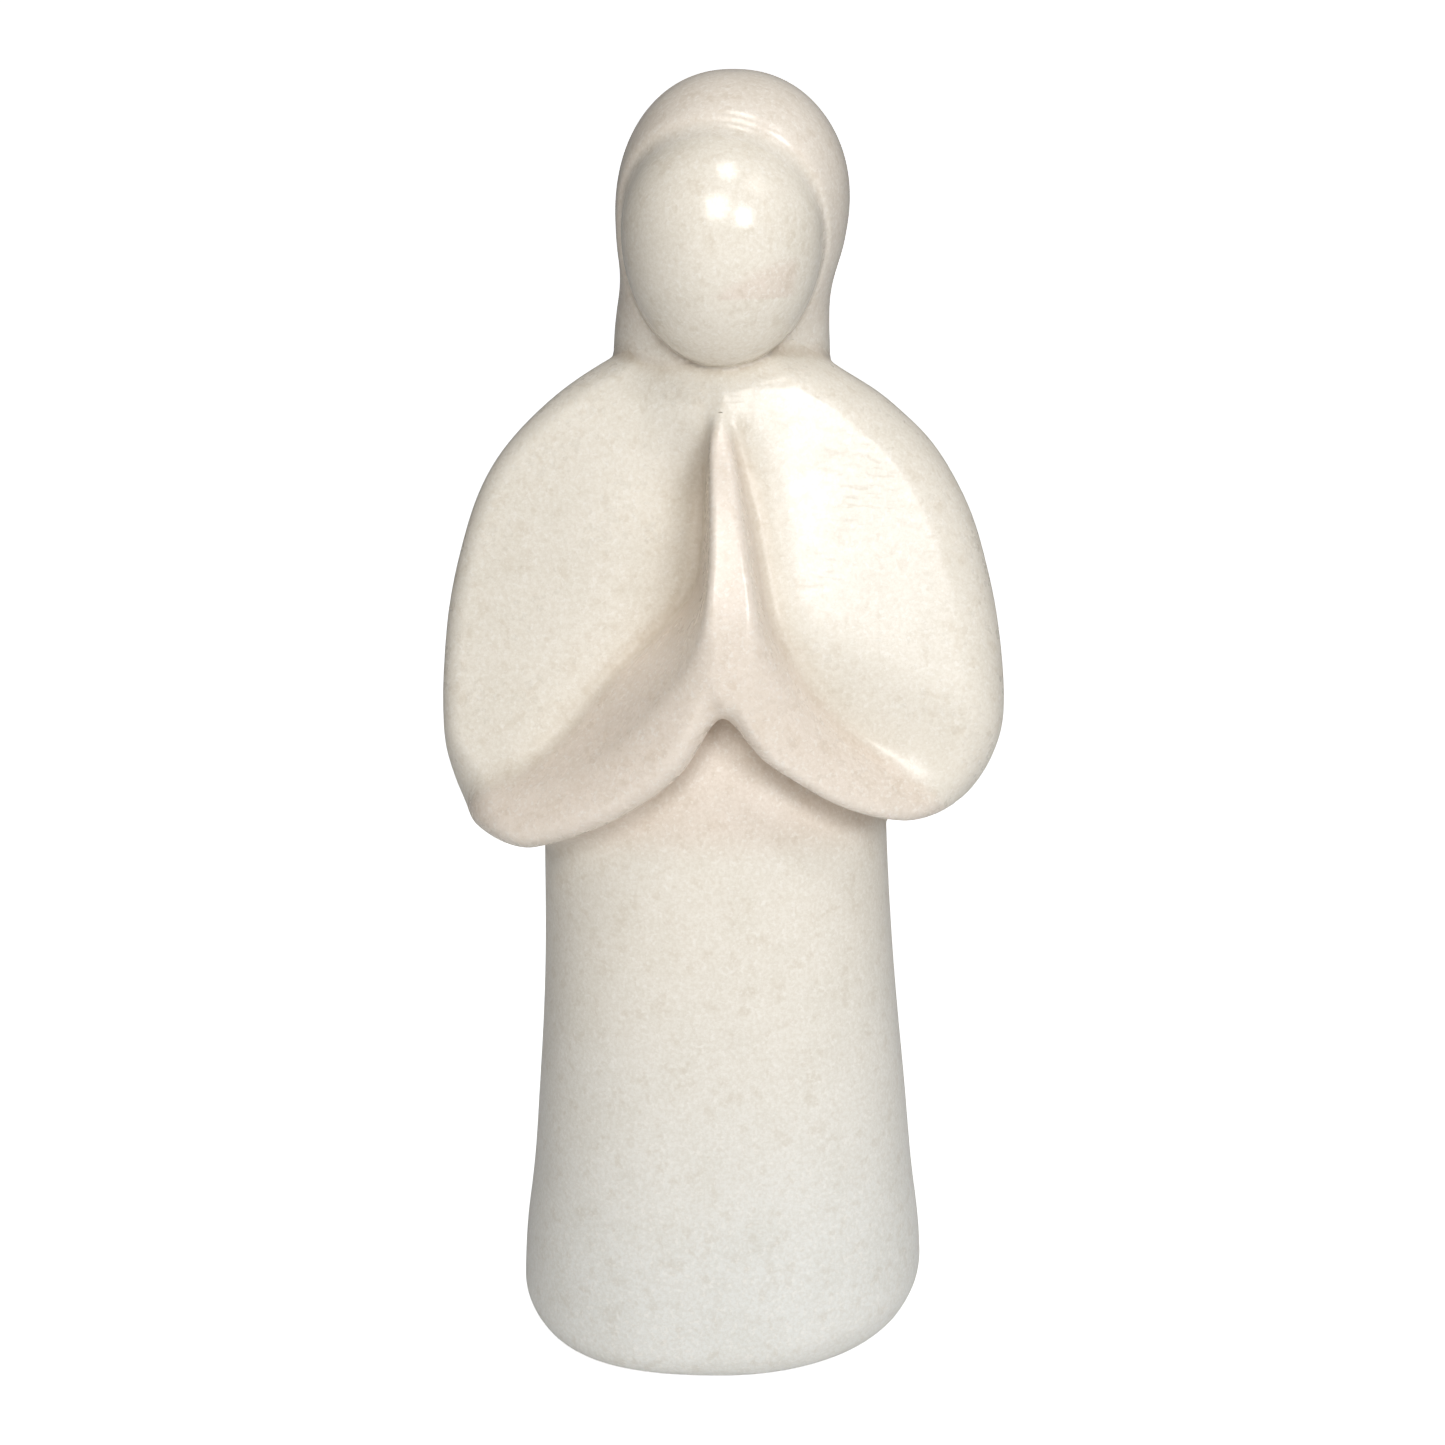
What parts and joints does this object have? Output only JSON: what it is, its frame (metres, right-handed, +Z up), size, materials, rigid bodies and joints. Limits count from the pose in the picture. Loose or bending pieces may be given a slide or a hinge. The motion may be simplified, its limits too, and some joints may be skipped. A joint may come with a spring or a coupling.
{
  "type": "madonna statue",
  "caption": "Small abstract praying figure in polished stone: plain gown on a flat foot, dished cloak, joined hands, veil and a blank egg-shaped face.",
  "frame": {"origin": "middle of the flat foot, on the surface that the figure stands on", "axes": "+Z up along the figure, -Y the way the face looks, +X to the viewer's right when facing the figure"},
  "size_m": [0.0874, 0.055, 0.1999],
  "materials": {
    "gown_stone": "fine soapstone, sanded and wax polished, slightly cooler towards the foot",
    "cloak_stone": "fine soapstone, sanded and wax polished, glossy in the dished panels",
    "arms_stone": "fine soapstone, sanded and wax polished, warmer along the ridge of the hands",
    "veil_stone": "fine soapstone, sanded and wax polished",
    "face_stone": "fine soapstone, sanded and wax polished to a higher gloss"
  },
  "bodies": {
    "root": {"gown": "gown_stone", "cloak": "cloak_stone", "praying_arms": "arms_stone", "veil": "veil_stone", "face": "face_stone"}
  },
  "joints": []
}
